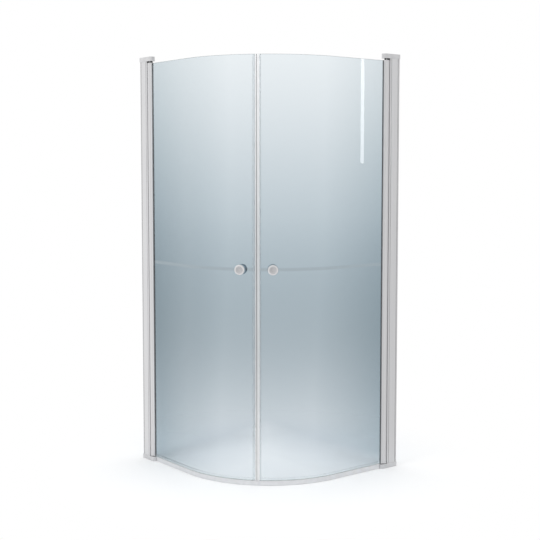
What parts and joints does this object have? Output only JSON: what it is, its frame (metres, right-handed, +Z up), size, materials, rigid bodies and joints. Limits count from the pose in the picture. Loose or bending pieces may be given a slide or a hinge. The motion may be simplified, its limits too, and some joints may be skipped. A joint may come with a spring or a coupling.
{
  "type": "shower enclosure",
  "caption": "Quarter-round corner shower enclosure with bowed clear glass doors that swing outwards on pivots in aluminium wall profiles, with magnet strips, floor seals and round knobs.",
  "frame": {"origin": "on the floor, in the middle of the square that the enclosure covers", "axes": "+Z up; the left wall is the plane x = -0.45 m, the right wall is the plane y = +0.45 m, and the seam of the doors points to +X -Y"},
  "size_m": [0.9, 0.9, 2],
  "materials": {
    "aluminium": "satin anodised",
    "cap_metal": "die-cast, satin",
    "steel": "stainless, plain",
    "knob_chrome": "polished",
    "cover_plastic": "moulded",
    "bush_plastic": "moulded",
    "gasket_rubber": "matt",
    "magnet_strip": "bonded magnet",
    "glass": "clear, polished",
    "clear_plastic": "clear, soft",
    "sweep_plastic": "milky, soft"
  },
  "bodies": {
    "frame": {"left_wall_channel": "aluminium", "left_hinge_post": "aluminium", "left_hinge_seal": "gasket_rubber", "left_top_cap": "cap_metal", "left_bottom_cap": "cap_metal", "left_top_pin": "steel", "left_bottom_pin": "steel", "left_cap_screws": "steel", "left_adjust_screws": "steel", "left_screw_covers": "cover_plastic", "right_wall_channel": "aluminium", "right_hinge_post": "aluminium", "right_hinge_seal": "gasket_rubber", "right_top_cap": "cap_metal", "right_bottom_cap": "cap_metal", "right_top_pin": "steel", "right_bottom_pin": "steel", "right_cap_screws": "steel", "right_adjust_screws": "steel", "right_screw_covers": "cover_plastic"},
    "left_door": {"left_stile": "aluminium", "left_knob_bolt": "steel", "left_knob_outer": "knob_chrome", "left_knob_inner": "knob_chrome", "left_top_bush": "bush_plastic", "left_bottom_bush": "bush_plastic", "left_glass_gasket": "gasket_rubber", "left_magnet": "magnet_strip", "left_glass": "glass", "left_closing_strip": "clear_plastic", "left_sweep": "sweep_plastic", "left_knob_washers": "clear_plastic", "left_knob_sleeve": "clear_plastic"},
    "right_door": {"right_stile": "aluminium", "right_knob_bolt": "steel", "right_knob_outer": "knob_chrome", "right_knob_inner": "knob_chrome", "right_top_bush": "bush_plastic", "right_bottom_bush": "bush_plastic", "right_glass_gasket": "gasket_rubber", "right_magnet": "magnet_strip", "right_glass": "glass", "right_closing_strip": "clear_plastic", "right_sweep": "sweep_plastic", "right_knob_washers": "clear_plastic", "right_knob_sleeve": "clear_plastic"}
  },
  "joints": [
    {"name": "left_door_hinge", "type": "hinge", "parent": "frame", "child": "left_door", "pos_m": [-0.378, -0.4335, 0], "axis": [0, 0, -1], "range_deg": [0, 90]},
    {"name": "right_door_hinge", "type": "hinge", "parent": "frame", "child": "right_door", "pos_m": [0.4335, 0.378, 0], "axis": [0, 0, 1], "range_deg": [0, 90]}
  ]
}
